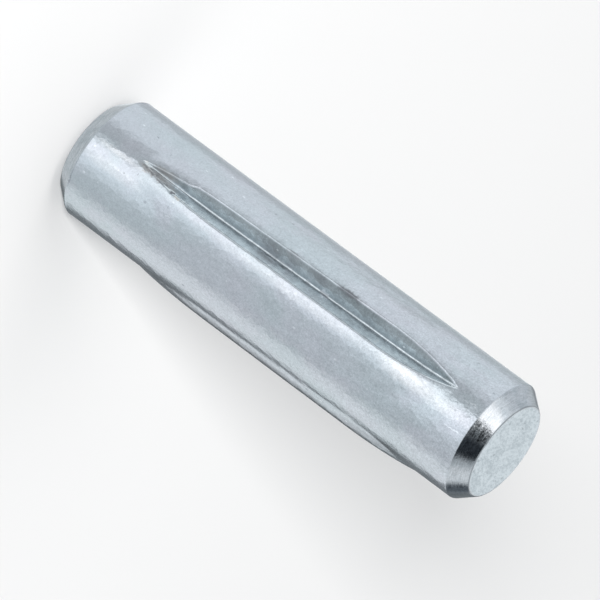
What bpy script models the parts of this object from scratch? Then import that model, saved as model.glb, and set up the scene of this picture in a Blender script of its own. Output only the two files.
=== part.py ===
"""Grooved pin: a chamfered steel pin with three pressed grooves along its middle.

The pin stands on its lower end, with its axis on Z. It is turned as a plain
blank, swelled where the dies pushed metal aside, and cut by three V grooves
that run out before either end.
"""

import math
from typing import NamedTuple

import bmesh
import bpy


class Groove(NamedTuple):
    """One of the three grooves, which the dies don't press quite alike."""

    turn: float
    lower_plain: float
    upper_plain: float


# Driving dimensions of the blank, in metres
PIN_DIAMETER = 0.003175
PIN_LENGTH = 0.0127
CHAMFER_LENGTH = 0.000432
CHAMFER_DEPTH = 0.000337

# The grooves: depth is taken from the pin's surface to the rounded root
GROOVE_DEPTH = 0.000175
GROOVE_ANGLE = math.radians(90)
ROOT_RADIUS = 0.0001
LOWER_RUN_OUT = 0.0024
UPPER_RUN_OUT = 0.0020
DIE_TILT = math.radians(0.3)
DIE_SKEW = math.radians(0.55)

# Each groove's turn about the axis, and the plain length that it leaves at each end
FRONT_GROOVE = Groove(math.radians(-90), lower_plain=0.00163, upper_plain=0.00143)
RIGHT_GROOVE = Groove(math.radians(30), lower_plain=0.00223, upper_plain=0.00159)
LEFT_GROOVE = Groove(math.radians(150), lower_plain=0.00160, upper_plain=0.00180)
GROOVES = (FRONT_GROOVE, RIGHT_GROOVE, LEFT_GROOVE)

# The lips that the displaced metal raises on both sides of a groove
LIP_RISE = 0.000122
LIP_LAND = 0.00009
LIP_REACH = 0.00046
LIP_HOLLOW = 1.3

# How finely the round and the long forms are divided
TURN_STEPS = 144
SWELL_ROWS = 34
ROOT_STEPS = 4
RUN_OUT_STEPS = 9
OVERRUN = 1.15
CUTTER_HEIGHT = 0.001
AXIS_MERGE = 0.000001

# The finish: bright zinc plate on steel
ZINC_COLOUR = (0.56, 0.61, 0.64, 1.0)
ZINC_ROUGHNESS = 0.34

PIN_RADIUS = PIN_DIAMETER / 2


def clear_scene():
    """Removes every object that the file opened with."""
    for old in list(bpy.data.objects):
        bpy.data.objects.remove(old, do_unlink=True)


def new_collection(name):
    """Adds a collection under the scene's own."""
    collection = bpy.data.collections.new(name)
    bpy.context.scene.collection.children.link(collection)
    return collection


def new_object(name, mesh, collection):
    """Puts a mesh into the scene as an object of its own."""
    made = bpy.data.objects.new(name, mesh)
    collection.objects.link(made)
    return made


def straight_part(groove):
    """The heights between which a groove keeps its full depth."""
    start = groove.lower_plain + LOWER_RUN_OUT
    end = PIN_LENGTH - groove.upper_plain - UPPER_RUN_OUT
    return start, end


def run_out_rise(past_straight, run_out):
    """How far the root has risen along the arc that brings it up to the pin's surface."""
    radius = (run_out**2 + GROOVE_DEPTH**2) / (2 * GROOVE_DEPTH)
    return radius - math.sqrt(max(radius**2 - past_straight**2, 0))


def groove_depth(groove, height):
    """How deep a root lies under the pin's surface, below zero past its run-outs."""
    start, end = straight_part(groove)
    depth = GROOVE_DEPTH + math.tan(DIE_TILT) * (height - (start + end) / 2)
    if height < start:
        depth -= run_out_rise(start - height, LOWER_RUN_OUT)
    if height > end:
        depth -= run_out_rise(height - end, UPPER_RUN_OUT)
    return depth


def groove_turn(groove, height):
    """A root's angle about the axis, which the skew of the dies changes along the pin."""
    start, end = straight_part(groove)
    return groove.turn - math.tan(DIE_SKEW) * (height - (start + end) / 2) / PIN_RADIUS


def swell(groove, angle, height):
    """How far one groove's lips lift the pin's surface at an angle and a height."""
    share = max(groove_depth(groove, height), 0) / GROOVE_DEPTH
    if share == 0:
        return 0
    between = math.remainder(angle - groove_turn(groove, height), math.tau)
    crest = (GROOVE_DEPTH + LIP_RISE) * math.tan(GROOVE_ANGLE / 2) + LIP_LAND
    reach = LIP_REACH * math.sqrt(share)
    outside_crest = abs(between) * PIN_RADIUS - crest * share
    left = min(max(1 - outside_crest / reach, 0), 1)
    return LIP_RISE * share * left**LIP_HOLLOW


def blank_profile():
    """The pin's outline from the top of the axis down its outer side to the bottom."""
    face_radius = PIN_RADIUS - CHAMFER_DEPTH
    lowest = min(root_stations(groove)[0] for groove in GROOVES)
    highest = max(root_stations(groove)[-1] for groove in GROOVES)
    points = [(0, PIN_LENGTH), (face_radius, PIN_LENGTH), (PIN_RADIUS, PIN_LENGTH - CHAMFER_LENGTH)]
    for row in range(SWELL_ROWS + 1):
        height = highest + (lowest - highest) * row / SWELL_ROWS
        points.append((PIN_RADIUS, height))
    points += [(PIN_RADIUS, CHAMFER_LENGTH), (face_radius, 0), (0, 0)]
    return points


def turned_blank(collection):
    """The plain chamfered blank, turned from its outline as a solid mesh."""
    outline = bpy.data.meshes.new("blank_outline")
    points = [(x, 0, z) for x, z in blank_profile()]
    edges = [(i, i + 1) for i in range(len(points) - 1)]
    outline.from_pydata(points, edges, [])
    turned = new_object("blank_outline", outline, collection)
    screw = turned.modifiers.new("turning", "SCREW")
    screw.axis = "Z"
    screw.steps = TURN_STEPS
    screw.render_steps = TURN_STEPS
    screw.use_merge_vertices = True
    screw.merge_threshold = AXIS_MERGE
    graph = bpy.context.evaluated_depsgraph_get()
    mesh = bpy.data.meshes.new_from_object(turned.evaluated_get(graph))
    bpy.data.objects.remove(turned, do_unlink=True)
    return mesh


def raise_lips(mesh):
    """Moves the blank's round surface out beside each groove, as pressing does."""
    shape = bmesh.new()
    shape.from_mesh(mesh)
    for vert in shape.verts:
        if not CHAMFER_LENGTH < vert.co.z < PIN_LENGTH - CHAMFER_LENGTH:
            continue
        angle = math.atan2(vert.co.y, vert.co.x)
        lift = max(swell(groove, angle, vert.co.z) for groove in GROOVES)
        radius = PIN_RADIUS + lift
        vert.co.x = radius * math.cos(angle)
        vert.co.y = radius * math.sin(angle)
    shape.to_mesh(mesh)
    shape.free()


def groove_section():
    """A die's V from one upper corner round the root to the other, with the root at zero."""
    half = GROOVE_ANGLE / 2
    root = []
    for step in range(ROOT_STEPS + 1):
        turn = (math.pi / 2 - half) * (2 * step / ROOT_STEPS - 1)
        root.append((ROOT_RADIUS * math.sin(turn), ROOT_RADIUS * (1 - math.cos(turn))))
    side, low = root[-1]
    corner = side + (CUTTER_HEIGHT - low) * math.tan(half)
    return [(-corner, CUTTER_HEIGHT)] + root + [(corner, CUTTER_HEIGHT)]


def root_stations(groove):
    """Heights along a groove, from past its lower run-out to past its upper one."""
    start, end = straight_part(groove)
    below = [start - LOWER_RUN_OUT * OVERRUN * i / RUN_OUT_STEPS for i in range(RUN_OUT_STEPS + 1)]
    above = [end + UPPER_RUN_OUT * OVERRUN * i / RUN_OUT_STEPS for i in range(RUN_OUT_STEPS + 1)]
    return below[::-1] + above


def section_at(groove, height):
    """The V where the die's edge stands at one height, as points in the pin's frame."""
    turn = groove_turn(groove, height)
    root = PIN_RADIUS - groove_depth(groove, height)
    points = []
    for across, above in groove_section():
        out = root + above
        x = out * math.cos(turn) - across * math.sin(turn)
        y = out * math.sin(turn) + across * math.cos(turn)
        points.append((x, y, height))
    return points


def groove_cutter(name, groove, collection):
    """A closed V bar drawn along the groove's root line, as the die's edge runs."""
    shape = bmesh.new()
    rings = []
    for height in root_stations(groove):
        rings.append([shape.verts.new(point) for point in section_at(groove, height)])
    for below, above in zip(rings, rings[1:]):
        for i, low in enumerate(below):
            shape.faces.new((low, below[i - 1], above[i - 1], above[i]))
    shape.faces.new(rings[0])
    shape.faces.new(rings[-1])
    bmesh.ops.recalc_face_normals(shape, faces=shape.faces)
    mesh = bpy.data.meshes.new(name)
    shape.to_mesh(mesh)
    shape.free()
    cutter = new_object(name, mesh, collection)
    cutter.hide_render = True
    cutter.display_type = "WIRE"
    return cutter


def zinc_plate():
    """The pin's one material."""
    material = bpy.data.materials.new("zinc_plate")
    material.use_nodes = True
    shader = material.node_tree.nodes["Principled BSDF"]
    shader.inputs["Base Color"].default_value = ZINC_COLOUR
    shader.inputs["Metallic"].default_value = 1.0
    shader.inputs["Roughness"].default_value = ZINC_ROUGHNESS
    material.diffuse_color = ZINC_COLOUR
    return material


def cut_grooves(pin, cutters):
    """Takes each groove out of the swelled blank."""
    names = ("front_groove", "right_groove", "left_groove")
    for name, groove in zip(names, GROOVES):
        cut = pin.modifiers.new(name, "BOOLEAN")
        cut.operation = "DIFFERENCE"
        cut.solver = "EXACT"
        cut.object = groove_cutter(name + "_cutter", groove, cutters)


def build_pin():
    """Builds the whole pin as one solid."""
    parts = new_collection("grooved_pin")
    cutters = new_collection("groove_cutters")
    mesh = turned_blank(parts)
    mesh.name = "grooved_pin"
    raise_lips(mesh)
    mesh.shade_smooth()
    mesh.set_sharp_from_angle(angle=math.radians(20))
    pin = new_object("grooved_pin", mesh, parts)
    pin.data.materials.append(zinc_plate())
    cut_grooves(pin, cutters)


clear_scene()
build_pin()
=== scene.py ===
"""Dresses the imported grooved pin: its pressed form, its zinc finishes, the studio and the camera."""

import logging
import math
from dataclasses import dataclass
from enum import Enum

import bpy
from mathutils import Matrix, Vector


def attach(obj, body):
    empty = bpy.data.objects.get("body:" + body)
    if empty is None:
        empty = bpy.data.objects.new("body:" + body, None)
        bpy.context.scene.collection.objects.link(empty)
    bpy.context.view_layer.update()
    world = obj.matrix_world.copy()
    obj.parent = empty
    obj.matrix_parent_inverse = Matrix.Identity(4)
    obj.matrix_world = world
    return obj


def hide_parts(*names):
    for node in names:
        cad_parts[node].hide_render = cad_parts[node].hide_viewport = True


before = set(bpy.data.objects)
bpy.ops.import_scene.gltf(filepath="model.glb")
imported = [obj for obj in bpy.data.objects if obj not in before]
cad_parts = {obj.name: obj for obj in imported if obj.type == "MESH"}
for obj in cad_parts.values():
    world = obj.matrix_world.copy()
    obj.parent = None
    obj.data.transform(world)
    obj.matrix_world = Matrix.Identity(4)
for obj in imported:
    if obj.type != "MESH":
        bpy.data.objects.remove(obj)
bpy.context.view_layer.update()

LOG = logging.getLogger("pin_scene")

MICRON = 0.000001
PER_METRE = 1000.0
# The side's radius in millimetres, by which an angle on it becomes an arc.
SIDE_RADIUS = 1.6
# How near to an end face, along the axis, a point still lies on it.
ON_FACE = 0.2 * MICRON

Tree = bpy.types.NodeTree
Node = bpy.types.Node
Socket = bpy.types.NodeSocket
Material = bpy.types.Material
Triple = tuple[float, float, float]
Colour = tuple[float, float, float]


class Value:
    """A number that flows through a node tree, so that a rule reads as plain arithmetic."""

    def __init__(self, tree: Tree, socket: Socket) -> None:
        """Wraps an output socket of a tree."""
        self.tree = tree
        self.socket = socket

    def math(self, operation: str, *others: "Value | float") -> "Value":
        """Adds a Math node that starts from this value.

        Args:
            operation: The Math node's operation.
            others: The node's further operands, in order.

        Returns:
            The node's result.
        """
        node = self.tree.nodes.new("ShaderNodeMath")
        node.operation = operation
        for slot, given in zip(node.inputs, (self, *others)):
            plug(self.tree, given, slot)
        return Value(self.tree, node.outputs[0])

    def __add__(self, other: "Value | float") -> "Value":
        """This value plus another."""
        return self.math("ADD", other)

    def __sub__(self, other: "Value | float") -> "Value":
        """This value minus another."""
        return self.math("SUBTRACT", other)

    def __mul__(self, other: "Value | float") -> "Value":
        """This value times another."""
        return self.math("MULTIPLY", other)

    def __truediv__(self, other: "Value | float") -> "Value":
        """This value over another."""
        return self.math("DIVIDE", other)

    def taken_from(self, number: float) -> "Value":
        """A plain number minus this value."""
        return self.math("MULTIPLY_ADD", -1.0, number)

    def size(self) -> "Value":
        """The value without its sign."""
        return self.math("ABSOLUTE")

    def root(self) -> "Value":
        """The value's square root."""
        return self.math("SQRT")

    def sine(self) -> "Value":
        """The sine of an angle in radians."""
        return self.math("SINE")

    def cosine(self) -> "Value":
        """The cosine of an angle in radians."""
        return self.math("COSINE")

    def tangent(self) -> "Value":
        """The tangent of an angle in radians."""
        return self.math("TANGENT")

    def at_least(self, low: "Value | float") -> "Value":
        """The larger of this value and a bound."""
        return self.math("MAXIMUM", low)

    def at_most(self, high: "Value | float") -> "Value":
        """The smaller of this value and a bound."""
        return self.math("MINIMUM", high)

    def soft_at_most(self, high: "Value | float", round_over: "Value | float") -> "Value":
        """The smaller of two values, with the crossing rounded over a distance."""
        return self.math("SMOOTH_MIN", high, round_over)

    def within_half_turn(self) -> "Value":
        """The same angle, brought between minus and plus half a turn."""
        return self.math("WRAP", math.pi, -math.pi)

    def spread(self, low: "Value | float", high: "Value | float", smooth: bool = True) -> "Value":
        """Maps a range onto 0 to 1 and holds it there outside the range.

        Args:
            low: The value that becomes 0.
            high: The value that becomes 1.
            smooth: Whether both ends are eased.

        Returns:
            The mapped value.
        """
        node = self.tree.nodes.new("ShaderNodeMapRange")
        node.interpolation_type = "SMOOTHSTEP" if smooth else "LINEAR"
        for name, given in (("Value", self), ("From Min", low), ("From Max", high)):
            plug(self.tree, given, node.inputs[name])
        return Value(self.tree, node.outputs["Result"])


# What can be fed into an input.
Given = Value | Socket | Material | tuple | float | str


@dataclass(frozen=True)
class Pattern:
    """A cloudy or scattered pattern: its features to the millimetre, its layers and how it lies."""

    scale: float = 1.0
    detail: float = 2.0
    roughness: float = 0.5
    stretch: Triple = (1.0, 1.0, 1.0)
    shift: Triple = (0.0, 0.0, 0.0)
    turn: Triple = (0.0, 0.0, 0.0)


def plug(tree: Tree, given: Given, slot: Socket) -> None:
    """Feeds a value, a socket or a plain setting into an input.

    Args:
        tree: The tree that both belong to.
        given: What goes in.
        slot: The input that takes it.
    """
    if isinstance(given, Value):
        given = given.socket
    if isinstance(given, Socket):
        tree.links.new(given, slot)
    else:
        slot.default_value = given


def take(tree: Tree, kind: str, **settings: Given) -> Node:
    """Adds a node and feeds its named inputs.

    Args:
        tree: The tree that gets the node.
        kind: The node's type.
        settings: What goes into each input, by its name with underscores for spaces.

    Returns:
        The new node.
    """
    node = tree.nodes.new(kind)
    for name, given in settings.items():
        plug(tree, given, node.inputs[name.replace("_", " ")])
    return node


def xyz(tree: Tree, vector: Socket) -> list[Value]:
    """The three numbers of a vector."""
    node = take(tree, "ShaderNodeSeparateXYZ", Vector=vector)
    return [Value(tree, socket) for socket in node.outputs]


def own_place(tree: Tree) -> Socket:
    """Where each point of a mesh stands."""
    return tree.nodes.new("GeometryNodeInputPosition").outputs[0]


def clouds(tree: Tree, place: Socket, pattern: Pattern) -> Value:
    """Draws a cloudy pattern.

    Args:
        tree: The tree that gets it.
        place: The coordinates that it is drawn in.
        pattern: The pattern.

    Returns:
        The pattern, around one half.
    """
    settings = {"Scale": pattern.scale, "Detail": pattern.detail, "Roughness": pattern.roughness}
    node = take(tree, "ShaderNodeTexNoise", Vector=place, **settings)
    return Value(tree, node.outputs[0])


def mixed(
    tree: Tree, amount: Value | float, first: Socket | Colour, second: Socket | Colour, kind: str = "MIX"
) -> Socket:
    """Mixes two colours.

    Args:
        tree: The tree that gets the node.
        amount: How much of the second colour shows.
        first: The colour below.
        second: The colour above.
        kind: The way of mixing.

    Returns:
        The mixed colour.
    """
    node = tree.nodes.new("ShaderNodeMix")
    node.data_type = "RGBA"
    node.blend_type = kind
    slots = {slot.name: slot for slot in node.inputs if slot.enabled}
    plug(tree, amount, slots["Factor"])
    for name, colour in (("A", first), ("B", second)):
        plug(tree, (*colour, 1.0) if isinstance(colour, tuple) else colour, slots[name])
    return next(slot for slot in node.outputs if slot.enabled)


class Zone(Enum):
    """The pin's surfaces that carry a finish of their own."""

    BODY = "zinc_body"
    CHAMFER = "zinc_chamfer"
    END_FACE = "zinc_end_face"


@dataclass(frozen=True)
class Groove:
    """One pressed groove: its plain lengths, its lips' reach and how far its lower tip leans."""

    name: str
    turn: float
    lower_plain: float
    upper_plain: float
    lip_reach: float
    tip_lean: float


@dataclass(frozen=True)
class Dent:
    """A small hollow or chip in the pin's side."""

    turn: float
    height: float
    width: float
    length: float
    depth: float


@dataclass(frozen=True)
class PinSizes:
    """The pin's sizes in metres and radians: its source's own, and finer ones that only show here."""

    pin_radius: float = 0.0015875
    pin_length: float = 0.0127
    chamfer_length: float = 0.000432
    chamfer_depth: float = 0.000337
    edge_round: float = 0.000035
    groove_depth: float = 0.000175
    groove_angle: float = math.radians(94)
    groove_lean: float = 0.16
    root_round: float = 0.000030
    lower_run_out: float = 0.0024
    upper_run_out: float = 0.0020
    step_top: float = 0.00330
    step_foot: float = 0.00305
    die_tilt: float = math.radians(0.3)
    die_skew: float = math.radians(0.55)
    lip_rise: float = 0.000122
    lip_start: float = 0.00034
    lip_round: float = 0.000045
    lip_wander: float = 0.000022
    lower_crest_change: float = -0.88
    broad_relief: float = 0.000007
    fine_relief: float = 0.000004


@dataclass(frozen=True)
class PinMesh:
    """How finely the pin's mesh is divided."""

    turns: int = 432
    crowding: float = 0.65
    face_rows: int = 6
    chamfer_rows: int = 9
    body_rows: int = 176
    edge_rows: int = 4
    merge: float = 0.0000001


@dataclass(frozen=True)
class GroovedPin:
    """The pin itself: a turned outline, three pressed grooves with their lips, and small marks."""

    finishes: dict[Zone, Material]
    sizes: PinSizes = PinSizes()
    mesh: PinMesh = PinMesh()

    GROOVES = (
        Groove("Front", math.radians(-90), 0.00163, 0.00143, 0.00086, 0.65),
        Groove("Right", math.radians(30), 0.00223, 0.00159, 0.00050, 0.0),
        Groove("Left", math.radians(150), 0.00160, 0.00180, 0.00055, 0.0),
    )
    DENTS = (
        Dent(math.radians(-80.3), 0.00288, 0.00006, 0.00010, 0.000022),
        Dent(math.radians(-79.0), 0.00308, 0.00009, 0.00012, 0.000006),
    )

    def build(self) -> bpy.types.Object:
        """Turns and presses the pin as one closed mesh.

        Returns:
            The finished piece, with its place in its mesh.
        """
        blank = bpy.data.objects.new("pin_outline", self.outline_mesh())
        bpy.context.scene.collection.objects.link(blank)
        pressing = blank.modifiers.new("pressing", "NODES")
        pressing.node_group = Pressing(self).build()
        self.set_inputs(pressing)
        graph = bpy.context.evaluated_depsgraph_get()
        made = bpy.data.meshes.new_from_object(blank.evaluated_get(graph))
        bpy.data.objects.remove(blank, do_unlink=True)
        made.name = "pin_body"
        piece = bpy.data.objects.new("pin_body", made)
        bpy.context.scene.collection.objects.link(piece)
        return piece

    def corner(self, before: tuple, at: tuple, after: tuple) -> list[tuple]:
        """Rounds one corner of the outline.

        Args:
            before: The outline's point before the corner.
            at: The sharp corner, as radius and height.
            after: The outline's point after it.

        Returns:
            The points of the rounding, from first to last.
        """
        here = Vector(at)
        start = here + (Vector(before) - here).normalized() * self.sizes.edge_round
        end = here + (Vector(after) - here).normalized() * self.sizes.edge_round
        steps = self.mesh.edge_rows
        points = []
        for step in range(steps + 1):
            share = step / steps
            point = start * (1 - share) ** 2 + here * 2 * share * (1 - share) + end * share**2
            points.append(tuple(point))
        return points

    def outline_points(self) -> list[tuple]:
        """The outline from the lower end's middle, up the side, to the upper end's middle.

        Returns:
            Its points, as radius and height.
        """
        sizes, mesh = self.sizes, self.mesh
        face = sizes.pin_radius - sizes.chamfer_depth
        corners = [
            (0.0, 0.0),
            (face, 0.0),
            (sizes.pin_radius, sizes.chamfer_length),
            (sizes.pin_radius, sizes.pin_length - sizes.chamfer_length),
            (face, sizes.pin_length),
            (0.0, sizes.pin_length),
        ]
        spans = [mesh.face_rows, mesh.chamfer_rows, mesh.body_rows, mesh.chamfer_rows, mesh.face_rows]
        runs = [self.corner(*three) for three in zip(corners, corners[1:], corners[2:])]
        points = [corners[0]]
        for rows, run in zip(spans, runs + [[corners[-1]]]):
            last, first = Vector(points[-1]), Vector(run[0])
            points += [tuple(last.lerp(first, row / rows)) for row in range(1, rows)]
            points += run
        return points

    def outline_mesh(self) -> bpy.types.Mesh:
        """The outline as a line of points in the plane of X and Z.

        Returns:
            A mesh of edges alone.
        """
        points = [(radius, 0.0, height) for radius, height in self.outline_points()]
        edges = [(row, row + 1) for row in range(len(points) - 1)]
        outline = bpy.data.meshes.new("pin_outline")
        outline.from_pydata(points, edges, [])
        return outline

    def named_sizes(self) -> dict[str, float]:
        """The pressing tree's number inputs.

        Returns:
            Each input's setting, by its name.
        """
        named = {"Crowding": self.mesh.crowding, "Merge": self.mesh.merge}
        groups = [("", self.sizes)] + [(groove.name + " ", groove) for groove in self.GROOVES]
        for prefix, group in groups:
            for name, size in vars(group).items():
                if isinstance(size, float):
                    named[prefix + name.replace("_", " ").title()] = size
        return named

    def set_inputs(self, pressing: bpy.types.Modifier) -> None:
        """Sets the modifier's inputs by their sockets' identifiers.

        Args:
            pressing: The modifier that holds the pressing tree.
        """
        named = self.named_sizes() | {"Turns": self.mesh.turns}
        for item in pressing.node_group.interface.items_tree:
            if item.in_out == "INPUT" and item.name in named:
                pressing[item.identifier] = named[item.name]


@dataclass(frozen=True)
class GrooveForm:
    """What one groove does at each point of the side."""

    flank: Value
    lift: Value
    rounding: Value
    across: Value


class Pressing:
    """The node tree that turns the outline round and presses the grooves into it."""

    WANDER = Pattern(1.3, 2.0, stretch=(1.0, 1.0, 0.9))
    BROAD = Pattern(1.1, 1.0, stretch=(1.0, 1.0, 0.55))
    FINE = Pattern(4.5, 2.0, stretch=(1.0, 1.0, 0.8))
    EDGE_SHARE = 0.6
    FULL_SHARE = 0.5
    LEAST_SPREAD = 0.02
    LEAST_NARROW = 0.1
    CREST_WIDTH = 0.03
    CHAMFER_SHARE = 0.3

    def __init__(self, pin: GroovedPin) -> None:
        """Starts the tree with its named inputs and a tube to press.

        Args:
            pin: The pin that is pressed.
        """
        self.pin = pin
        self.tree = bpy.data.node_groups.new("pin_pressing", "GeometryNodeTree")
        names = list(pin.named_sizes())
        inputs = {"Outline": "Geometry", "Turns": "Int"} | {name: "Float" for name in names}
        for name, kind in inputs.items():
            self.tree.interface.new_socket(name, in_out="INPUT", socket_type="NodeSocket" + kind)
        self.tree.interface.new_socket("Pin", in_out="OUTPUT", socket_type="NodeSocketGeometry")
        self.inputs = self.tree.nodes.new("NodeGroupInput")
        self.given = {name: Value(self.tree, self.inputs.outputs[name]) for name in names}
        self.shape, self.radius, self.height = self.tube()
        self.angle = self.crowded_angle()

    def build(self) -> Tree:
        """Lays out the rest of the tree.

        Returns:
            The finished tree.
        """
        side, marks = self.pressed_side()
        x, y = side * self.angle.cosine(), side * self.angle.sine()
        place = take(self.tree, "ShaderNodeCombineXYZ", X=x, Y=y, Z=self.height)
        for name, mark in marks.items():
            self.store(name, mark)
        self.step("GeometryNodeSetPosition", Position=place.outputs[0])
        self.step("GeometryNodeMergeByDistance", Distance=self.given["Merge"])
        self.step("GeometryNodeSetShadeSmooth", Shade_Smooth=True)
        self.step("GeometryNodeSetShadeSmooth", Selection=self.near_end(ON_FACE), Shade_Smooth=False)
        self.step("GeometryNodeRealizeInstances")
        self.dress()
        done = self.tree.nodes.new("NodeGroupOutput")
        self.tree.links.new(self.shape, done.inputs["Pin"])
        return self.tree

    def step(self, kind: str, **settings: Given) -> None:
        """Adds one geometry node after the shape so far."""
        self.shape = take(self.tree, kind, Geometry=self.shape, **settings).outputs[0]

    def tube(self) -> tuple[Socket, Value, Value]:
        """A tube with one ring for each of the outline's points.

        Returns:
            The tube, and the radius and the height of the outline at each of its points.
        """
        outline = self.inputs.outputs["Outline"]
        count = take(self.tree, "GeometryNodeAttributeDomainSize", Geometry=outline)
        spans = Value(self.tree, count.outputs["Point Count"]) - 1.0
        tube = self.tree.nodes.new("GeometryNodeMeshCylinder")
        tube.fill_type = "NONE"
        plug(self.tree, self.inputs.outputs["Turns"], tube.inputs["Vertices"])
        for name, given in (("Side Segments", spans), ("Depth", spans), ("Radius", 1.0)):
            plug(self.tree, given, tube.inputs[name])
        row = (xyz(self.tree, own_place(self.tree))[2] + spans * 0.5).math("ROUND")
        sample = self.tree.nodes.new("GeometryNodeSampleIndex")
        sample.data_type = "FLOAT_VECTOR"
        sample.domain = "POINT"
        for name, given in (("Geometry", outline), ("Value", own_place(self.tree)), ("Index", row)):
            plug(self.tree, given, sample.inputs[name])
        radius, _, height = xyz(self.tree, sample.outputs[0])
        return tube.outputs["Mesh"], radius, height

    def crowded_angle(self) -> Value:
        """Each point's angle about the axis, with the points crowded towards the grooves.

        Returns:
            The angle in radians.
        """
        count = float(len(self.pin.GROOVES))
        x, y, _ = xyz(self.tree, own_place(self.tree))
        even = y.math("ARCTAN2", x)
        between = (even - self.given["Front Turn"]) * count
        return even - between.sine() * self.given["Crowding"] / count

    def pressed_side(self) -> tuple[Value, dict[str, Value]]:
        """Applies the pressing rule to the round side.

        Returns:
            The pressed radius, and the marks that the finishes read.
        """
        wander = (self.cloud(self.WANDER) - 0.5) * self.given["Lip Wander"]
        forms = [self.groove_form(groove, wander) for groove in self.pin.GROOVES]
        lift, across = forms[0].lift, forms[0].across
        for form in forms[1:]:
            lift = lift.at_least(form.lift)
            across = across + form.across
        raised = self.radius + lift
        side, edge = raised, None
        for form in forms:
            past = (raised - form.flank) / (form.rounding * self.EDGE_SHARE)
            near = past.size().spread(1.0, 0.0)
            edge = near if edge is None else edge.at_least(near)
            side = side.soft_at_most(form.flank, form.rounding)
        pressed = ((raised - side) / (self.given["Groove Depth"] * self.FULL_SHARE)).at_most(1.0)
        share = self.radius / self.given["Pin Radius"]
        worn = self.relief() * share.spread(0.9999, 1.0)
        for dent in self.pin.DENTS:
            worn = worn + self.dent_depth(dent)
        on_side = share.spread(0.9, 0.999, smooth=False)
        marks = {
            "pressed": pressed,
            "crest": (lift / self.given["Lip Rise"]).spread(0.8, 1.0),
            "across": across,
            "lip_edge": edge * pressed.spread(-0.5, 0.1),
        }
        return self.radius + (side - worn - self.radius) * on_side, marks

    def groove_form(self, groove: Groove, wander: Value) -> GrooveForm:
        """One groove's flanks and lips, by the rule of the pin's source, with flanks that lean a little.

        Args:
            groove: The groove.
            wander: How far the flanks stray from true.

        Returns:
            The flank's radius, the lips' lift and rounding, and the place across the groove.
        """
        given, height = self.given, self.height
        deepest, radius = given["Groove Depth"], given["Pin Radius"]
        start = given[f"{groove.name} Lower Plain"] + given["Lower Run Out"]
        end = given["Pin Length"] - given[f"{groove.name} Upper Plain"] - given["Upper Run Out"]
        from_middle = height - (start + end) * 0.5
        depth = deepest + given["Die Tilt"].tangent() * from_middle
        depth = depth - self.risen(start - height, given["Lower Run Out"])
        depth = depth - self.risen(height - end, given["Upper Run Out"])
        share = depth.at_least(0.0) / deepest

        turn = given[f"{groove.name} Turn"] - given["Die Skew"].tangent() * from_middle / radius
        between = (self.angle - turn).within_half_turn()
        sideways = between.sine()
        blunt = given["Root Round"] / radius
        opening = (given["Groove Angle"] * 0.5).tangent()
        near_tip = height.spread(given["Step Top"], given["Step Foot"]) * given[f"{groove.name} Tip Lean"]
        lean = given["Groove Lean"] + near_tip * sideways.math("LESS_THAN", 0.0)
        rise = (sideways * sideways + blunt * blunt).root() / opening - sideways * lean
        narrow = (between.cosine() - rise).at_least(self.LEAST_NARROW)
        apex = (radius - depth) * (blunt / opening).taken_from(1.0)

        spread = share.root().at_least(self.LEAST_SPREAD)
        outside = between.size() * radius - given["Lip Start"] * spread
        reach = given[f"{groove.name} Lip Reach"] * spread
        left = (outside / reach).taken_from(1.0).at_least(0.0).at_most(1.0)
        slope = left * left * (left * -2.0 + 3.0)
        crest = sideways.spread(0.0, self.CREST_WIDTH, smooth=False)
        sharper = crest.math("MULTIPLY_ADD", given["Lower Crest Change"], 1.0)
        return GrooveForm(
            flank=apex / narrow + wander * share.at_most(1.0),
            lift=slope * given["Lip Rise"] * share,
            rounding=given["Lip Round"] * (share * 0.6 + 0.4).at_most(1.0) * sharper,
            across=sideways * between.cosine().math("GREATER_THAN", 0.5),
        )

    def risen(self, past: Value, run_out: Value) -> Value:
        """How far the root has risen along the arc that brings it up to the surface.

        Args:
            past: The distance past the groove's straight part.
            run_out: The run-out's length.

        Returns:
            The rise.
        """
        past, depth = past.at_least(0.0), self.given["Groove Depth"]
        radius = (run_out * run_out + depth * depth) / (depth * 2.0)
        return radius - (radius * radius - past * past).at_least(0.0).root()

    def cloud(self, pattern: Pattern) -> Value:
        """A cloudy pattern on the blank's surface.

        Args:
            pattern: The pattern, which is stretched only along the axis.

        Returns:
            The pattern, around one half.
        """
        radius = self.pin.sizes.pin_radius * PER_METRE
        x, y = self.angle.cosine() * radius, self.angle.sine() * radius
        z = self.height * (PER_METRE * pattern.stretch[2])
        spot = take(self.tree, "ShaderNodeCombineXYZ", X=x, Y=y, Z=z)
        return clouds(self.tree, spot.outputs[0], pattern)

    def relief(self) -> Value:
        """The shallow unevenness of the tumbled side, always inwards."""
        broad = self.cloud(self.BROAD) * self.given["Broad Relief"]
        return broad + self.cloud(self.FINE) * self.given["Fine Relief"]

    def dent_depth(self, dent: Dent) -> Value:
        """How deep a dent is at each point.

        Args:
            dent: The dent.

        Returns:
            Its depth.
        """
        width = self.pin.sizes.pin_radius / dent.width
        across = (self.angle - dent.turn).within_half_turn() * width
        along = (self.height - dent.height) / dent.length
        near = (across * across + along * along).taken_from(1.0).at_least(0.0)
        return near * near * dent.depth

    def store(self, name: str, mark: Value) -> None:
        """Keeps a mark as an attribute of the mesh's points.

        Args:
            name: The attribute's name.
            mark: The mark.
        """
        node = self.tree.nodes.new("GeometryNodeStoreNamedAttribute")
        node.data_type = "FLOAT"
        node.domain = "POINT"
        for slot, given in (("Geometry", self.shape), ("Name", name), ("Value", mark)):
            plug(self.tree, given, node.inputs[slot])
        self.shape = node.outputs["Geometry"]

    def near_end(self, reach: Value | float) -> Value:
        """Where the surface lies within a distance of either end face."""
        height = xyz(self.tree, own_place(self.tree))[2]
        return height.at_most(self.given["Pin Length"] - height).math("LESS_THAN", reach)

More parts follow.
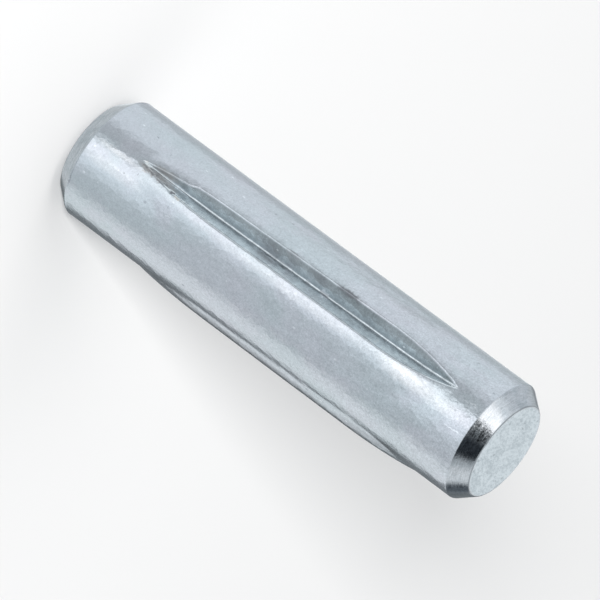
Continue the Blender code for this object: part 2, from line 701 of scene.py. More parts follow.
    def dress(self) -> None:
        """Gives each zone its finish."""
        chamfer = self.given["Chamfer Length"] - self.given["Edge Round"] * self.CHAMFER_SHARE
        self.step("GeometryNodeSetMaterial", Material=self.pin.finishes[Zone.BODY])
        for zone, reach in ((Zone.CHAMFER, chamfer), (Zone.END_FACE, ON_FACE)):
            where, finish = self.near_end(reach), self.pin.finishes[zone]
            self.step("GeometryNodeSetMaterial", Selection=where, Material=finish)


@dataclass(frozen=True)
class Patch:
    """A worn or stained place, or a place of painted highlight, painted light or painted shade: its angle
    in degrees, its height and its half sizes in millimetres.
    """

    angle: float
    height: float
    half_height: float
    half_arc: float
    strength: float = 1.0
    soft: float = 0.6


class Paint:
    """A metal whose patterns are drawn in the pin's own millimetres."""

    STRAY = Pattern(9.0, 3.0, 0.6)
    STRAY_AROUND = Pattern(9.0, 3.0, 0.6, shift=(7.0, 3.0, 5.0))
    STRAY_REACH = 4.0

    def __init__(self, zone: Zone, roughness: float) -> None:
        """Starts the material with its plain settings.

        Args:
            zone: The surface that it is for.
            roughness: Its plain roughness.
        """
        self.material = bpy.data.materials.new(zone.value)
        self.material.use_nodes = True
        self.tree = self.material.node_tree
        self.shader = self.tree.nodes["Principled BSDF"]
        self.shader.inputs["Metallic"].default_value = 1.0
        self.shader.inputs["Roughness"].default_value = roughness
        self.origin = self.tree.nodes.new("ShaderNodeTexCoord").outputs["Object"]

    def place(self, pattern: Pattern = Pattern()) -> Socket:
        """The pin's coordinates in millimetres, as a pattern lies in them.

        Args:
            pattern: The pattern, which is turned before it is stretched.

        Returns:
            The coordinates.
        """
        turned = take(self.tree, "ShaderNodeMapping", Vector=self.origin, Rotation=pattern.turn)
        lay = {"Scale": tuple(PER_METRE * part for part in pattern.stretch), "Location": pattern.shift}
        return take(self.tree, "ShaderNodeMapping", Vector=turned.outputs[0], **lay).outputs[0]

    def noise(self, pattern: Pattern) -> Value:
        """A cloudy pattern, around one half."""
        return clouds(self.tree, self.place(pattern), pattern)

    def cells(self, pattern: Pattern) -> tuple[Value, Value]:
        """Scattered points.

        Args:
            pattern: How densely they lie.

        Returns:
            The distance to the nearest one, and its own random number.
        """
        node = take(self.tree, "ShaderNodeTexVoronoi", Vector=self.place(pattern), Scale=pattern.scale)
        own = take(self.tree, "ShaderNodeSeparateColor", Color=node.outputs["Color"])
        return Value(self.tree, node.outputs["Distance"]), Value(self.tree, own.outputs[0])

    def ring(self, radius: float, half_width: float) -> Value:
        """A thin ring about the axis.

        Args:
            radius: Its radius in millimetres.
            half_width: Its half width in millimetres.

        Returns:
            1 on its line and 0 away from it.
        """
        x, y, _ = xyz(self.tree, self.place())
        return ((x * x + y * y).root() - radius).size().spread(half_width, 0.0)

    def mark(self, name: str) -> Value:
        """One of the marks that the pressing left on the mesh.

        Args:
            name: The mark's name.

        Returns:
            The mark.
        """
        node = self.tree.nodes.new("ShaderNodeAttribute")
        node.attribute_type = "GEOMETRY"
        node.attribute_name = name
        return Value(self.tree, node.outputs["Fac"])

    def round_place(self, ragged: float) -> tuple[Value, Value]:
        """The angle about the axis and the height, both strayed by a noise.

        Args:
            ragged: How far they stray, in millimetres, either way.

        Returns:
            The angle in radians and the height in millimetres.
        """
        x, y, z = xyz(self.tree, self.place())
        reach = ragged * self.STRAY_REACH
        aside = (self.noise(self.STRAY_AROUND) - 0.5) * (reach / SIDE_RADIUS)
        return y.math("ARCTAN2", x) + aside, z + (self.noise(self.STRAY) - 0.5) * reach

    def unrolled(self, pattern: Pattern) -> Value:
        """A pattern on the side laid flat, as arc and height in millimetres.

        Args:
            pattern: The pattern, which is turned before it is stretched.

        Returns:
            The pattern, around one half.
        """
        around, along = self.round_place(0.0)
        flat = take(self.tree, "ShaderNodeCombineXYZ", X=around * SIDE_RADIUS, Y=along)
        turned = take(self.tree, "ShaderNodeMapping", Vector=flat.outputs[0], Rotation=pattern.turn)
        laid = take(self.tree, "ShaderNodeMapping", Vector=turned.outputs[0], Scale=pattern.stretch)
        return clouds(self.tree, laid.outputs[0], pattern)

    def worn(self, places: tuple[Patch, ...], spot: tuple[Value, Value]) -> Value:
        """Where any of some patches lies.

        Args:
            places: The patches.
            spot: The angle about the axis in radians, and the height in millimetres.

        Returns:
            1 inside a patch of full strength and 0 away from them all.
        """
        around, along = spot
        total = None
        for patch in places:
            aside = (around - math.radians(patch.angle)).within_half_turn()
            aside = aside * (SIDE_RADIUS / patch.half_arc)
            above = (along - patch.height) / patch.half_height
            distance = (aside * aside + above * above).root()
            inside = distance.spread(1.0, 1.0 - patch.soft) * patch.strength
            total = inside if total is None else total.at_least(inside)
        return total

    def blend(self, amount: Value | float, first: Socket | Colour, second: Socket | Colour) -> Socket:
        """Lays some of a second colour over the first."""
        return mixed(self.tree, amount, first, second)

    def scaled(self, colour: Socket, tone: Value) -> Socket:
        """A colour made lighter or darker by a factor around one."""
        grey = take(self.tree, "ShaderNodeCombineColor", Red=tone, Green=tone, Blue=tone)
        return mixed(self.tree, 1.0, colour, grey.outputs[0], "MULTIPLY")

    def relief(self, *layers: tuple[Value, float]) -> Socket:
        """Raises patterns on top of each other.

        Args:
            layers: Each pattern and its depth in metres, from the lowest.

        Returns:
            The surface's direction.
        """
        below = None
        for height, depth in layers:
            node = take(self.tree, "ShaderNodeBump", Height=height, Distance=depth, Strength=1.0)
            if below is not None:
                plug(self.tree, below, node.inputs["Normal"])
            below = node.outputs["Normal"]
        return below

    def finish(self, colour: Socket, roughness: Value, normal: Socket) -> Material:
        """Joins the patterns to the shader.

        Args:
            colour: The metal's colour.
            roughness: Its roughness.
            normal: Its relief.

        Returns:
            The finished material.
        """
        for name, given in (("Base Color", colour), ("Roughness", roughness), ("Normal", normal)):
            plug(self.tree, given, self.shader.inputs[name])
        return self.material


@dataclass(frozen=True)
class BodyPlate:
    """Tumbled bright zinc on the round side and in the grooves."""

    plain: Colour = (0.562, 0.592, 0.638)
    cool: Colour = (0.530, 0.582, 0.618)
    violet: Colour = (0.575, 0.587, 0.642)
    # Groove flanks: duller pressed metal, with painted shade on the upper flank, darkest towards the
    # root, and painted light on the lower flank.
    groove: Colour = (0.365, 0.408, 0.432)
    lower_groove: Colour = (0.840, 0.890, 0.915)
    outer_groove: Colour = (0.850, 0.905, 0.935)
    # Painted shade on the lower lip's crest.
    crest_shade: Colour = (0.480, 0.515, 0.535)
    deep: Colour = (0.236, 0.272, 0.290)
    clean: Colour = (0.930, 0.955, 0.970)
    # The colour of the painted highlight along the groove's root.
    root: Colour = (0.640, 0.690, 0.720)
    # The colour of dark specks, and of the painted shade along the side's lower edge.
    speck: Colour = (0.30, 0.32, 0.35)
    # Pale marks, glints, and the painted light just below the root.
    light: Colour = (0.80, 0.84, 0.88)
    # The colour of the painted highlights.
    burnished: Colour = (0.775, 0.79, 0.805)
    # The colour of dark smudges and of painted shade.
    smudge: Colour = (0.195, 0.205, 0.222)
    dull: Colour = (0.375, 0.400, 0.425)
    stain: Colour = (0.42, 0.405, 0.395)
    chip: Colour = (0.66, 0.64, 0.60)

    ragged: float = 0.045
    rub_ragged: float = 0.03
    roughness: float = 0.24

    broad: Pattern = Pattern(0.8, stretch=(1.0, 1.0, 0.4))
    tint: Pattern = Pattern(1.7, 3.0, stretch=(1.0, 1.0, 0.6), shift=(4.0, 9.0, 2.0))
    dashes: Pattern = Pattern(2.6, 3.0, 0.7, (1.0, 1.0, 0.6), (2.0, 5.0, 1.0))
    grain: Pattern = Pattern(22.0, 2.0, 0.6)
    die_marks: Pattern = Pattern(9.0, 3.0, 0.7, (0.25, 0.25, 1.0))
    specks: Pattern = Pattern(2.4, stretch=(1.0, 1.0, 0.8))
    glints: Pattern = Pattern(3.4, stretch=(1.0, 1.0, 0.7), shift=(3.0, 1.0, 8.0))
    fine: Pattern = Pattern(10.0, 3.0, 0.65)
    middle: Pattern = Pattern(3.4, 3.0, 0.6, (1.0, 1.0, 0.7))
    streaks: Pattern = Pattern(11.0, 2.0, stretch=(1.0, 1.0, 0.06))
    scuffs: Pattern = Pattern(7.0, 2.0, stretch=(1.0, 1.0, 0.3), turn=(0.0, math.radians(32), 0.0))
    dimples: Pattern = Pattern(7.0, stretch=(1.0, 1.0, 0.7))
    rubs: Pattern = Pattern(5.0, 2.0, 0.6, (1.0, 0.28, 1.0), turn=(0.0, 0.0, math.radians(38)))

    streak_depth: float = 1.0 * MICRON
    dimple_depth: float = 5.0 * MICRON
    scuff_depth: float = 3.6 * MICRON
    rub_depth: float = 9.0 * MICRON
    fine_depth: float = 3.6 * MICRON
    middle_depth: float = 4.6 * MICRON

    FRONT = (
        Patch(-90.0, 6.35, 12.0, 0.80, 1.0, 0.2),
    )
    RUBBED = (
        Patch(-71.0, 7.4, 5.2, 0.30, 1.0, 0.9),
    )
    # Dark smudges in and beside the front groove; the long strips at 3 to 13 degrees are painted shade on
    # a band of the side.
    SMUDGES = (
        Patch(-94.0, 5.62, 0.60, 0.20, 0.55, 0.9),
        Patch(-94.5, 6.25, 0.42, 0.13, 0.50, 0.9),
        Patch(-96.8, 7.05, 0.50, 0.15, 0.55, 0.9),
        Patch(-98.0, 7.15, 0.16, 0.06, 0.60, 0.9),
        Patch(-92.6, 5.72, 0.20, 0.045, 0.75, 0.9),
        Patch(-92.4, 6.20, 0.20, 0.045, 0.80, 0.9),
        Patch(-94.4, 6.22, 0.10, 0.05, 0.75, 0.9),
        Patch(-88.0, 5.66, 0.26, 0.035, 0.60, 0.9),
        Patch(-86.6, 6.10, 0.14, 0.050, 0.75, 0.9),
        Patch(-88.0, 6.80, 0.18, 0.040, 0.45, 0.9),
        Patch(-98.4, 7.86, 0.06, 0.05, 0.8, 0.9),
        Patch(-99.3, 8.16, 0.08, 0.05, 0.7, 0.9),
        Patch(-80.5, 2.89, 0.10, 0.040, 1.0, 0.7),
        Patch(-86.0, 2.00, 0.24, 0.050, 0.55, 0.7),
        Patch(-83.9, 2.25, 0.27, 0.055, 0.70, 0.7),
        Patch(-81.9, 2.54, 0.26, 0.055, 0.70, 0.7),
        Patch(-100.0, 7.87, 0.48, 0.095, 0.90, 0.65),
        Patch(-99.9, 8.10, 0.16, 0.080, 0.70, 0.8),
        Patch(13.0, 6.6, 4.4, 0.21, 0.50, 0.5),
        Patch(9.0, 3.5, 1.3, 0.20, 0.38, 0.7),
        Patch(9.0, 9.8, 1.4, 0.20, 0.36, 0.7),
        Patch(-98.8, 7.86, 0.07, 0.045, 0.75, 0.8),
        Patch(-98.8, 8.18, 0.07, 0.040, 0.65, 0.8),
        Patch(3.0, 10.45, 0.60, 0.16, 0.55, 0.8),
        Patch(10.0, 10.10, 0.35, 0.10, 0.55, 0.8),
    )
    # Painted shade: a darker patch on the front groove's upper flank.
    DEEPENED = (
        Patch(-95.8, 8.30, 1.10, 0.24, 0.55, 0.7),
    )
    # Painted light: a lighter patch on the front groove's lower flank, level with the painted shade above
    # it.
    CLEANED = (
        Patch(-84.5, 8.40, 1.15, 0.26, 0.85, 0.7),
    )
    DULLED = (
        Patch(-90.7, 7.31, 0.145, 0.058, 1.0, 0.3),
        Patch(-90.6, 5.98, 0.62, 0.045, 0.42, 0.6),
        Patch(-90.7, 6.82, 0.09, 0.035, 0.8, 0.8),
        Patch(-90.7, 6.02, 0.12, 0.030, 0.6, 0.8),
        Patch(-90.7, 5.45, 0.10, 0.030, 0.5, 0.8),
        Patch(-98.9, 6.18, 0.32, 0.060, 0.85, 0.6),
        Patch(-99.3, 10.38, 0.30, 0.040, 0.50, 0.8),
        Patch(-97.9, 10.75, 0.26, 0.040, 0.50, 0.8),
        Patch(-95.6, 11.08, 0.20, 0.035, 0.45, 0.8),
        Patch(-91.2, 2.26, 0.26, 0.055, 0.80, 0.8),
        Patch(-93.4, 2.62, 0.26, 0.055, 0.80, 0.8),
        Patch(-95.2, 2.99, 0.22, 0.050, 0.70, 0.8),
        Patch(-97.8, 3.45, 0.12, 0.040, 0.60, 0.8),
    )
    STAINS = (
        Patch(-85.0, 2.18, 0.62, 0.13, 0.75, 0.6),
        Patch(-91.0, 2.45, 0.55, 0.10, 0.45, 0.8),
        Patch(-83.5, 2.78, 0.34, 0.10, 0.50, 0.8),
        Patch(-80.9, 1.98, 0.10, 0.035, 0.70, 0.8),
        Patch(-81.6, 2.20, 0.09, 0.030, 0.70, 0.8),
        Patch(-81.0, 2.42, 0.10, 0.035, 0.65, 0.8),
        Patch(-81.4, 2.66, 0.09, 0.040, 0.65, 0.8),
        Patch(-84.5, 5.60, 0.55, 0.08, 0.35, 0.8),
    )
    CHIPS = (
        Patch(-78.6, 3.07, 0.11, 0.05, 0.70, 0.7),
        Patch(-89.4, 1.85, 0.10, 0.030, 0.50, 0.9),
    )
    LIGHTS = (
        Patch(-88.0, 11.98, 0.15, 0.026, 0.8, 0.8),
        Patch(-86.5, 11.80, 0.06, 0.024, 0.7, 0.8),
        Patch(-61.1, 11.92, 0.30, 0.018, 0.9, 0.6),
        Patch(-62.4, 3.10, 0.05, 0.022, 0.6, 0.8),
        Patch(-64.5, 3.16, 0.05, 0.022, 0.6, 0.8),
    )
    # Painted highlights: lighter patches along the highlight band and near the upper end.
    BURNISHED = (
        Patch(-72.8, 10.40, 1.40, 0.27, 0.95, 0.9),
        Patch(-72.0, 11.40, 0.85, 0.24, 0.40, 0.9),
        Patch(-71.5, 6.80, 4.60, 0.14, 0.38, 0.9),
        Patch(-66.0, 1.20, 1.30, 0.20, 0.38, 0.8),
        Patch(-80.5, 1.15, 0.90, 0.10, 0.50, 0.8),
    )
    SPOTS = (
        Patch(-69.5, 1.61, 0.040, 0.040, 0.80, 1.0),
        Patch(-76.2, 1.89, 0.036, 0.040, 0.60, 1.0),
        Patch(-107.5, 2.17, 0.040, 0.040, 0.65, 1.0),
        Patch(-68.7, 3.03, 0.040, 0.040, 0.75, 1.0),
        Patch(-115.0, 1.57, 0.055, 0.034, 0.90, 1.0),
        # Painted shade: a thin dark line along the side's lower edge, next to the lower chamfer.
        Patch(-37.0, 0.445, 0.030, 0.40, 0.70, 0.9),
        Patch(-52.0, 0.440, 0.024, 0.16, 0.45, 0.9),
    )

    def tones(self, paint: Paint, fine: Value, middle: Value) -> Socket:
        """The plate's cloudy colour, with its wear and stains, and with painted highlights, painted light
        and painted shade in and beside the front groove and along the highlight band.

        Args:
            paint: The material.
            fine: Its grain.
            middle: Its clouds.

        Returns:
            The colour.
        """
        pressed, across = paint.mark("pressed"), paint.mark("across")
        lower_side = across.spread(-0.01, 0.01)
        above, below = pressed.spread(0.10, 0.55), pressed.spread(0.0, 0.14)
        flank = above * lower_side.taken_from(1.0) + below * lower_side
        spot = paint.round_place(self.ragged)
        colour = paint.blend(paint.noise(self.broad).spread(0.38, 0.62), self.plain, self.cool)
        colour = paint.blend(paint.noise(self.tint).spread(0.45, 0.68) * 0.55, colour, self.violet)
        # Painted highlights along the highlight band.
        colour = paint.blend(paint.worn(self.BURNISHED, spot), colour, self.burnished)
        dashes = paint.noise(self.dashes)
        colour = paint.blend(paint.mark("lip_edge") * dashes.spread(0.66, 0.34) * 0.75, colour, self.dull)
        colour = paint.blend(flank, colour, self.groove_tones(paint, spot, pressed, across))
        # Painted light in a thin strip just below the root on the lower flank.
        painted_light_below_root = across.spread(0.11, 0.02) * lower_side * pressed.spread(0.3, 0.9)
        colour = paint.blend(painted_light_below_root, colour, self.light)
        # A painted highlight along the root line, broken by the dashes.
        line = across.size().spread(0.022, 0.008) * pressed.spread(0.0, 0.4)
        colour = paint.blend(line * dashes.spread(0.30, 0.60), colour, self.root)
        tone = (paint.noise(self.grain) - 0.5) * 0.46 + (fine - 0.5) * 0.30 + (middle - 0.5) * 0.18
        tone = tone * self.coarseness(paint)
        tone = tone + (paint.noise(self.die_marks) - 0.5) * flank * 0.55
        colour = paint.scaled(colour, tone + 1.0)
        layers = (
            (self.DULLED, self.dull), (self.STAINS, self.stain), (self.SMUDGES, self.smudge),
            (self.CHIPS, self.chip), (self.SPOTS, self.speck), (self.LIGHTS, self.light),
        )
        for places, shade in layers:
            colour = paint.blend(paint.worn(places, spot), colour, shade)
        near, own = paint.cells(self.specks)
        colour = paint.blend(near.spread(0.12, 0.04) * own.spread(0.62, 0.68) * 0.6, colour, self.speck)
        near, own = paint.cells(self.glints)
        return paint.blend(near.spread(0.13, 0.03) * own.spread(0.60, 0.66) * 0.7, colour, self.light)

    def groove_tones(self, paint: Paint, spot: tuple, pressed: Value, across: Value) -> Socket:
        """The colour of the grooves' flanks: duller metal, with painted shade on the upper flank and
        painted light on the lower flank of the front groove, so darker on one side of the root than on
        the other.

        Args:
            paint: The material.
            spot: The angle about the axis in radians, and the height in millimetres.
            pressed: How deep the surface lies in a groove.
            across: The place across the groove, below 0 on its dark side.

        Returns:
            The colour.
        """
        # Painted shade on the upper flank, darkest next to the root; painted light on the lower flank,
        # only on the front groove.
        upper = paint.blend(paint.worn(self.DEEPENED, spot), self.groove, self.deep)
        upper = paint.blend(across.spread(-0.11, -0.03), upper, self.deep)
        lower = paint.blend(paint.worn(self.CLEANED, spot), self.lower_groove, self.clean)
        lower = paint.blend(across.spread(0.03, 0.15), lower, self.outer_groove)
        # Painted shade on the lower lip's crest, where the rounding would otherwise show a lighter strip.
        rim = pressed.spread(0.55, 0.30) * across.spread(0.12, 0.17)
        lower = paint.blend(rim, lower, self.crest_shade)
        lower = paint.blend(paint.worn(self.FRONT, spot), self.cool, lower)
        return paint.blend(across.spread(-0.01, 0.01), upper, lower)

    @staticmethod
    def coarseness(paint: Paint) -> Value:
        """How coarse the grain is, which grows from the lower end to the upper one."""
        height = xyz(paint.tree, paint.place())[2]
        return height.spread(0.0, PinSizes.pin_length * PER_METRE, smooth=False) * 0.75 + 0.6

    def make(self) -> Material:
        """Lays the plate's colour, gloss and relief.

        Returns:
            The finished material.
        """
        paint = Paint(Zone.BODY, self.roughness)
        fine, middle = paint.noise(self.fine), paint.noise(self.middle)
        colour = self.tones(paint, fine, middle)
        dimples, _ = paint.cells(self.dimples)
        rubbed = paint.unrolled(self.rubs) * paint.worn(self.RUBBED, paint.round_place(self.rub_ragged))
        coarse = self.coarseness(paint)
        roughness = middle * 0.06 + fine * 0.10 + 0.15 - paint.mark("crest") * 0.03
        normal = paint.relief(
            (paint.noise(self.streaks), self.streak_depth),
            (dimples * dimples, self.dimple_depth),
            (paint.noise(self.scuffs), self.scuff_depth),
            (rubbed, self.rub_depth),
            (fine * coarse, self.fine_depth),
            (middle * coarse, self.middle_depth),
        )
        return paint.finish(colour, roughness, normal)


@dataclass(frozen=True)
class ChamferPlate:
    """The rolled chamfers, brighter than the side and finely ringed."""

    plain: Colour = (0.560, 0.590, 0.620)
    dull: Colour = (0.500, 0.540, 0.570)
    streak: Colour = (0.20, 0.22, 0.24)
    rim: Colour = (0.26, 0.28, 0.30)

    ragged: float = 0.03
    roughness: float = 0.18
    rim_radius: float = 1.2505
    rim_half_width: float = 0.024
    darkest: float = 0.08

    rings: Pattern = Pattern(30.0, 3.0, 0.65, (0.14, 0.14, 1.0))
    fine: Pattern = Pattern(22.0, 3.0, 0.65)
    cloudy: Pattern = Pattern(4.0, 2.0)

    ring_depth: float = 2.0 * MICRON
    fine_depth: float = 6.0 * MICRON
    cloud_depth: float = 2.0 * MICRON

    MOTTLED = (
        Patch(-72.2, 12.48, 0.40, 0.25, 1.0, 0.3),
        Patch(-55.0, 12.48, 0.40, 0.30, 0.45, 0.4),
    )
    RAGGED = (
        Patch(-76.0, 12.48, 0.50, 0.30, 0.7, 0.5),
    )
    STREAKED = (
        Patch(-45.0, 12.48, 0.60, 0.24, 1.0, 0.9),
        Patch(-5.0, 12.48, 0.60, 0.30, 0.9, 0.9),
    )

    def make(self) -> Material:
        """Lays the chamfers' colour, gloss and relief.

        Returns:
            The finished material.
        """
        paint = Paint(Zone.CHAMFER, self.roughness)
        rings, fine, cloudy = map(paint.noise, (self.rings, self.fine, self.cloudy))
        colour = paint.blend(cloudy.spread(0.45, 0.7), self.plain, self.dull)
        around, along = paint.round_place(self.ragged)
        mottled = paint.worn(self.MOTTLED, (around, along))
        ragged = paint.worn(self.RAGGED, (around, along))
        tone = (rings - 0.5) * 0.8 + (fine - 0.5) * 0.5
        tone = tone * (mottled * 4.0 + 1.0) - mottled * 0.15
        colour = paint.scaled(colour, (tone + 1.0).at_least(self.darkest))
        streaks = paint.worn(self.STREAKED, (around + (rings - 0.5) * 0.5, along))
        colour = paint.blend(streaks * rings.spread(0.48, 0.56) * 0.9, colour, self.streak)
        colour = paint.blend(paint.ring(self.rim_radius, self.rim_half_width), colour, self.rim)
        normal = paint.relief(
            (rings * (ragged * 1.6 + 0.3), self.ring_depth),
            (fine * (ragged * 1.0 + 0.25), self.fine_depth),
            (cloudy, self.cloud_depth),
        )
        return paint.finish(colour, fine * 0.10 + 0.08, normal)


@dataclass(frozen=True)
class EndFacePlate:
    """The sheared end faces, matte and grained under the plate."""

    plain: Colour = (0.730, 0.785, 0.815)
    grain: Colour = (0.545, 0.600, 0.630)
    fleck: Colour = (0.38, 0.42, 0.44)
    rim: Colour = (0.26, 0.28, 0.30)

    roughness: float = 0.5
    rim_radius: float = 1.2505
    rim_half_width: float = 0.014
    stretch: Triple = (1.0, 0.5, 0.0)
    shear: Triple = (0.0, 0.0, math.radians(-18))
    fine_depth: float = 5.0 * MICRON
    broad_depth: float = 10.0 * MICRON

    def make(self) -> Material:
        """Lays the faces' colour, gloss and relief.

        Returns:
            The finished material.
        """
        paint = Paint(Zone.END_FACE, self.roughness)
        lay = {"stretch": self.stretch, "turn": self.shear}
        fine = paint.noise(Pattern(14.0, 4.0, 0.85, **lay))
        broad = paint.noise(Pattern(3.0, 3.0, 0.6, **lay))
        near, own = paint.cells(Pattern(9.0, **lay))
        grained = (fine * 0.65 + broad * 0.35).spread(0.43, 0.59)
        colour = paint.blend(grained, self.plain, self.grain)
        flecks = near.spread(0.34, 0.10) * own.spread(0.62, 0.72) * broad.spread(0.38, 0.55)
        colour = paint.blend(flecks * 0.7, colour, self.fleck)
        colour = paint.blend(paint.ring(self.rim_radius, self.rim_half_width), colour, self.rim)
        normal = paint.relief((fine, self.fine_depth), (broad, self.broad_depth))
        return paint.finish(colour, fine * 0.1 + broad * 0.08 + 0.42, normal)


@dataclass(frozen=True)
class Panel:
    """One soft panel of the studio, by its bearing from the camera and its height, in degrees."""

    name: str
    bearing: float
    half_width: float
    height: float
    half_height: float
    edge: float
    light: Colour


@dataclass(frozen=True)
class Surroundings:
    """The studio all round the pin, which its metal mirrors."""

    camera_bearing: float
    camera_white: Colour = (0.95, 0.95, 0.95)
    sky: Colour = (0.92, 0.95, 0.97)

    PANELS = (
        Panel("low_wall", 0, 181, -40, 52, 5, (0.66, 0.69, 0.71)),
        Panel("left_wall", -92, 37, -30, 45, 10, (0.96, 1.01, 1.04)),
        Panel("right_wall", 109, 25, -30, 45, 12, (1.01, 1.04, 1.045)),
        Panel("right_gap", 54, 18, -30, 45, 12, (0.71, 0.75, 0.775)),
        Panel("left_gap", -36, 13, -30, 45, 5, (0.62, 0.65, 0.67)),
        Panel("front_glow", 14, 22, -30, 45, 14, (1.11, 1.16, 1.21)),
        Panel("front_strip", -4.5, 12, -30, 45, 4, (1.50, 1.53, 1.56)),
        Panel("back_left_corner", -150, 16, -18, 24, 9, (0.62, 0.66, 0.68)),
        Panel("back_right_corner", 156.5, 23, -18, 24, 5, (0.20, 0.22, 0.23)),
        Panel("back_strip", -172, 8, -30, 45, 5, (0.94, 0.98, 1.0)),
        Panel("under", 0, 181, -85, 34, 12, (0.70, 0.74, 0.76)),
        Panel("upper_left_wall", -112, 34, 22, 18, 8, (0.73, 0.77, 0.81)),
        Panel("key_fringe", -72, 14, 52, 17, 12, (1.04, 1.09, 1.13)),
        Panel("key", -42, 22, 52, 17, 12, (1.72, 1.70, 1.70)),
        Panel("ceiling_shade", 51, 38, 46, 24, 16, (0.53, 0.56, 0.58)),
        Panel("dark_ceiling", 14.5, 35.5, 54, 22, 3, (0.24, 0.255, 0.265)),
        Panel("black_ceiling", 43, 25.5, 54, 22, 9, (0.035, 0.042, 0.05)),
        Panel("upper_right_gap", 136, 14, 14, 13, 9, (0.12, 0.14, 0.16)),
        Panel("upper_left_corner", -168, 12, -9, 6, 4, (0.32, 0.34, 0.36)),
    )

    def build(self) -> None:
        """Makes the world and gives it to the scene."""
        world = bpy.data.worlds.new("studio")
        world.use_nodes = True
        tree = world.node_tree
        x, y, z = xyz(tree, tree.nodes.new("ShaderNodeTexCoord").outputs["Generated"])
        bearing = y.math("ARCTAN2", x) - self.camera_bearing
        height = z.math("ARCSINE")
        colour = self.sky
        for panel in self.PANELS:
            colour = mixed(tree, self.covered(panel, bearing, height), colour, panel.light)
        back = tree.nodes["Background"]
        plug(tree, colour, back.inputs["Color"])
        seen = take(tree, "ShaderNodeBackground", Color=(*self.camera_white, 1.0))
        ray = tree.nodes.new("ShaderNodeLightPath")
        whole = tree.nodes.new("ShaderNodeMixShader")
        feeds = (ray.outputs["Is Camera Ray"], back.outputs[0], seen.outputs[0])
        for slot, given in zip(whole.inputs, feeds):
            plug(tree, given, slot)
        plug(tree, whole.outputs[0], tree.nodes["World Output"].inputs["Surface"])
        bpy.context.scene.world = world

    @staticmethod
    def covered(panel: Panel, bearing: Value, height: Value) -> Value:
        """Where a panel hangs.

        Args:
            panel: The panel.
            bearing: The direction's bearing from the camera, in radians.
            height: The direction's height above the horizon, in radians.

        Returns:
            1 on the panel and 0 away from it.
        """
        aside = (bearing - math.radians(panel.bearing)).within_half_turn().size()
        above = (height - math.radians(panel.height)).size()
        edge = math.radians(panel.edge)
        masks = []
        for away, half in ((aside, panel.half_width), (above, panel.half_height)):
            masks.append(away.spread(math.radians(half) + edge, math.radians(half) - edge))
        return masks[0] * masks[1]


@dataclass(frozen=True)
class Lamp:
    """A square soft lamp, by its bearing from the camera and its height in degrees, and its distance."""

    name: str
    bearing: float
    height: float
    distance: float
    side: float
    power: float


@dataclass(frozen=True)
class Studio:
    """The pale floor, the lamps and the surroundings, round the point that the lamps face."""

    centre: Vector
    camera_bearing: float
    floor_side: float = 0.6
    floor_colour: Colour = (0.785, 0.772, 0.762)

    LAMPS = (
        Lamp("side_lamp", -3.5, 20.0, 0.30, 0.035, 1.0),
        Lamp("key_lamp", -45, 52, 0.30, 0.16, 0.10),
    )

    def build(self) -> None:
        """Makes everything round the pin that isn't part of it."""
        self.floor()
        for lamp in self.LAMPS:
            self.hang(lamp)
            LOG.info("%s hangs", lamp.name)
        Surroundings(self.camera_bearing).build()

    def floor(self) -> None:
        """A plain floor that catches the pin's shadow and isn't mirrored in it."""
        half = self.floor_side / 2
        mesh = bpy.data.meshes.new("floor")
        corners = [(-half, -half, 0), (half, -half, 0), (half, half, 0), (-half, half, 0)]
        mesh.from_pydata(corners, [], [(0, 1, 2, 3)])
        material = bpy.data.materials.new("floor")
        material.use_nodes = True
        shader = material.node_tree.nodes["Principled BSDF"]
        shader.inputs["Base Color"].default_value = (*self.floor_colour, 1.0)
        shader.inputs["Roughness"].default_value = 1.0
        shader.inputs["Specular IOR Level"].default_value = 0.0
        mesh.materials.append(material)
        floor = bpy.data.objects.new("floor", mesh)
        bpy.context.scene.collection.objects.link(floor)
        floor.visible_glossy = False
        floor.visible_shadow = False

    def hang(self, lamp: Lamp) -> None:
        """Hangs one lamp, turned to face the pin.

        Args:
            lamp: The lamp.
        """
        light = bpy.data.lights.new(lamp.name, "AREA")
        light.size = lamp.side
        light.energy = lamp.power
        holder = bpy.data.objects.new(lamp.name, light)
        bpy.context.scene.collection.objects.link(holder)
        away = direction(self.camera_bearing + math.radians(lamp.bearing), math.radians(lamp.height))
        holder.location = self.centre + away * lamp.distance
        holder.rotation_euler = (-away).to_track_quat("-Z", "Y").to_euler()
        holder.visible_camera = False
        holder.visible_glossy = False


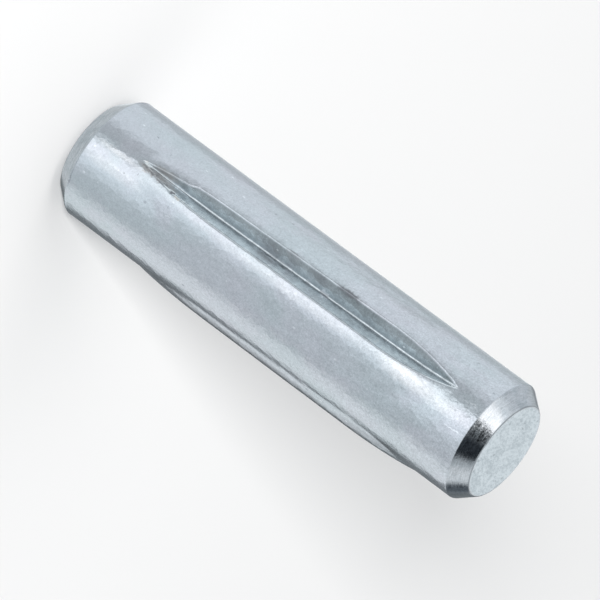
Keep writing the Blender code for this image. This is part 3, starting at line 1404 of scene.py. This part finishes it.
def direction(bearing: float, height: float) -> Vector:
    """The unit vector at a bearing about Z and a height above the floor, in radians."""
    level = math.cos(height)
    return Vector((math.cos(bearing) * level, math.sin(bearing) * level, math.sin(height)))


@dataclass(frozen=True)
class PhotoCamera:
    """The camera at the photograph's viewing angle, rolled as the photograph is."""

    azimuth: float = 18.0
    elevation: float = 21.8
    roll: float = 126.53
    distance: float = 0.309
    lens: float = 799.5
    nearest: float = 0.01
    farthest: float = 2.0
    above_middle: float = 0.000035

    @property
    def bearing(self) -> float:
        """The camera's bearing about the pin, in radians."""
        return math.radians(self.azimuth - 90)

    @property
    def target(self) -> Vector:
        """The point near the pin's middle that the camera is aimed at."""
        return Vector((0.0, 0.0, PinSizes.pin_length / 2 + self.above_middle))

    def build(self) -> None:
        """Sets the camera up and hands it to the scene."""
        data = bpy.data.cameras.new("photo_camera")
        data.lens = self.lens
        data.clip_start = self.nearest
        data.clip_end = self.farthest
        camera = bpy.data.objects.new("photo_camera", data)
        bpy.context.scene.collection.objects.link(camera)
        back = direction(self.bearing, math.radians(self.elevation))
        upright = (-back).to_track_quat("-Z", "Y").to_matrix().to_4x4()
        rolled = upright @ Matrix.Rotation(math.radians(self.roll), 4, "Z")
        camera.matrix_world = Matrix.Translation(self.target + back * self.distance) @ rolled
        bpy.context.scene.camera = camera


def main() -> None:
    """Builds the pin, the studio and the camera in order."""
    logging.basicConfig(level=logging.INFO, format="%(message)s")
    bpy.context.scene.view_settings.view_transform = "Standard"
    finishes = {
        Zone.BODY: BodyPlate().make(),
        Zone.CHAMFER: ChamferPlate().make(),
        Zone.END_FACE: EndFacePlate().make(),
    }
    pin = GroovedPin(finishes).build()
    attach(pin, "root")
    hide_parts("grooved_pin")
    LOG.info("%s: %d points, %d faces", pin.name, len(pin.data.vertices), len(pin.data.polygons))

    camera = PhotoCamera()
    camera.build()
    LOG.info("photo_camera is set")
    Studio(camera.target, camera.bearing).build()
    LOG.info("studio is set")


if __name__ == "__main__":
    main()
